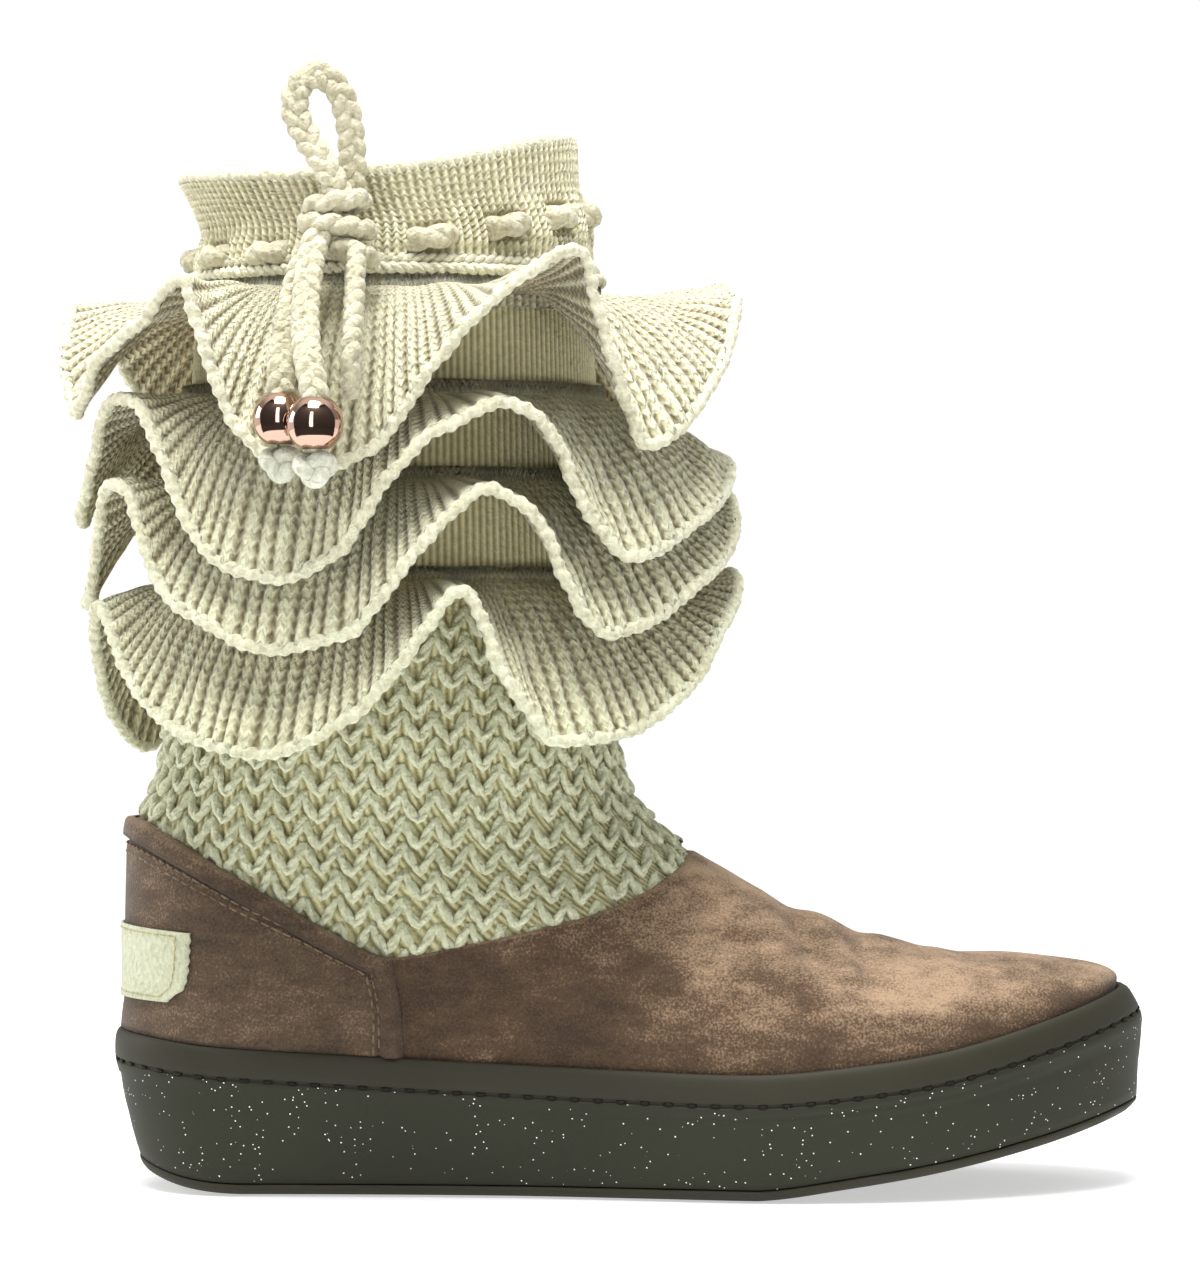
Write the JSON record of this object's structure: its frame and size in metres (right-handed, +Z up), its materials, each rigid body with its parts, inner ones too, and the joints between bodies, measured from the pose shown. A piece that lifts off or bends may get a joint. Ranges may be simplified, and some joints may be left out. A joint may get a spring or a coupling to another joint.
{
  "type": "mukluk boot",
  "caption": "Soft winter boot with a thick rubber cup sole, a suede foot and a knitted shaft carrying ruffle tiers and a drawstring tied in a beaded bow",
  "frame": {"origin": "point on the floor under the middle of the sole's length, on the heel's centre line; the mount floor_rest", "axes": "+X from heel to toe, +Y to the inner side of this right shoe, +Z up; the sole's flat part lies in z = 0"},
  "size_m": [0.2824, 0.1834, 0.284],
  "materials": {
    "tread_rubber": "matte moulded rubber",
    "sole_rubber": "satin moulded rubber with fine pale specks",
    "footbed_cloth": "short pile lining",
    "suede": "soft brushed suede",
    "heel_suede": "soft brushed suede",
    "label_cloth": "woven label, bare",
    "shaft_knit": "chunky knitted yarn",
    "frill_knit": "rib-knitted yarn",
    "cord_yarn": "braided yarn cord",
    "bead_metal": "polished rose gold plating"
  },
  "bodies": {
    "root": {"outsole": "tread_rubber", "midsole": "sole_rubber", "insole": "footbed_cloth", "upper": "suede", "heel_panel": "heel_suede", "heel_label": "label_cloth", "knit_shaft": "shaft_knit", "frill_1": "frill_knit", "frill_2": "frill_knit", "frill_3": "frill_knit", "frill_4": "frill_knit", "drawstring": "cord_yarn", "bow_knot": "cord_yarn", "bow_loop_up": "cord_yarn", "bow_loop_down": "cord_yarn", "string_end_left": "cord_yarn", "string_end_right": "cord_yarn", "bead_left": "bead_metal", "bead_right": "bead_metal", "end_knot_left": "cord_yarn", "end_knot_right": "cord_yarn"}
  },
  "joints": []
}
